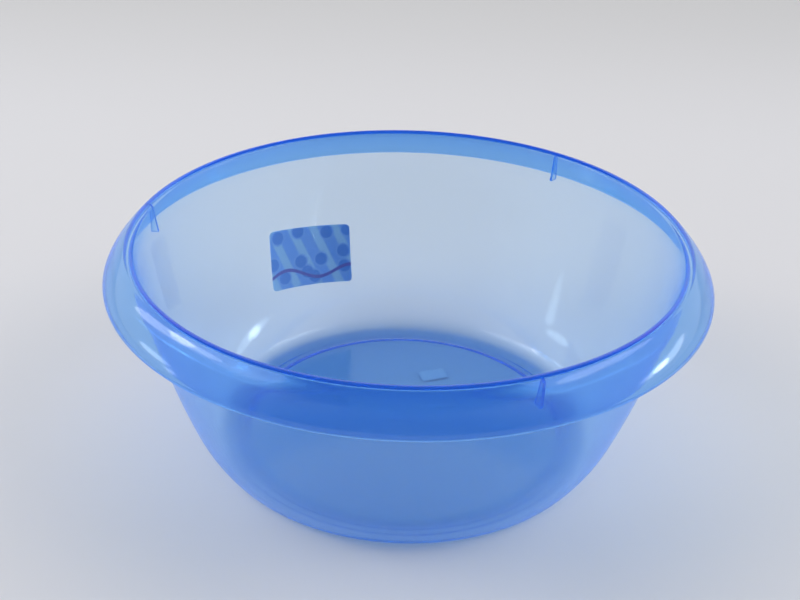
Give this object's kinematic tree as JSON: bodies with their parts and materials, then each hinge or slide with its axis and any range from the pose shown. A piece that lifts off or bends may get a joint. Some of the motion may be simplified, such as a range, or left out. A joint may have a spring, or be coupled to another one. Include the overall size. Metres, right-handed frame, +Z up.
{
  "type": "plastic bowl",
  "caption": "Round see-through plastic washing-up bowl with a turned-down rim, stacking ribs under the rim, a foot ring, and a film label on the wall.",
  "frame": {"origin": "on the turning axis of the bowl, in the plane of the foot ring that it stands on", "axes": "+Z up along the turning axis, out of the bowl's mouth; +Y towards the side of the wall that carries the film label, at the left of it seen from inside"},
  "size_m": [0.329, 0.329, 0.1265],
  "materials": {
    "tinted_plastic": "glossy, see-through, tinted blue in the mass",
    "label_film": "printed film, satin",
    "tag_paper": "plain white, slightly creased"
  },
  "bodies": {
    "root": {"bowl": "tinted_plastic", "wall_label": "label_film", "base_tag": "tag_paper"}
  },
  "joints": []
}
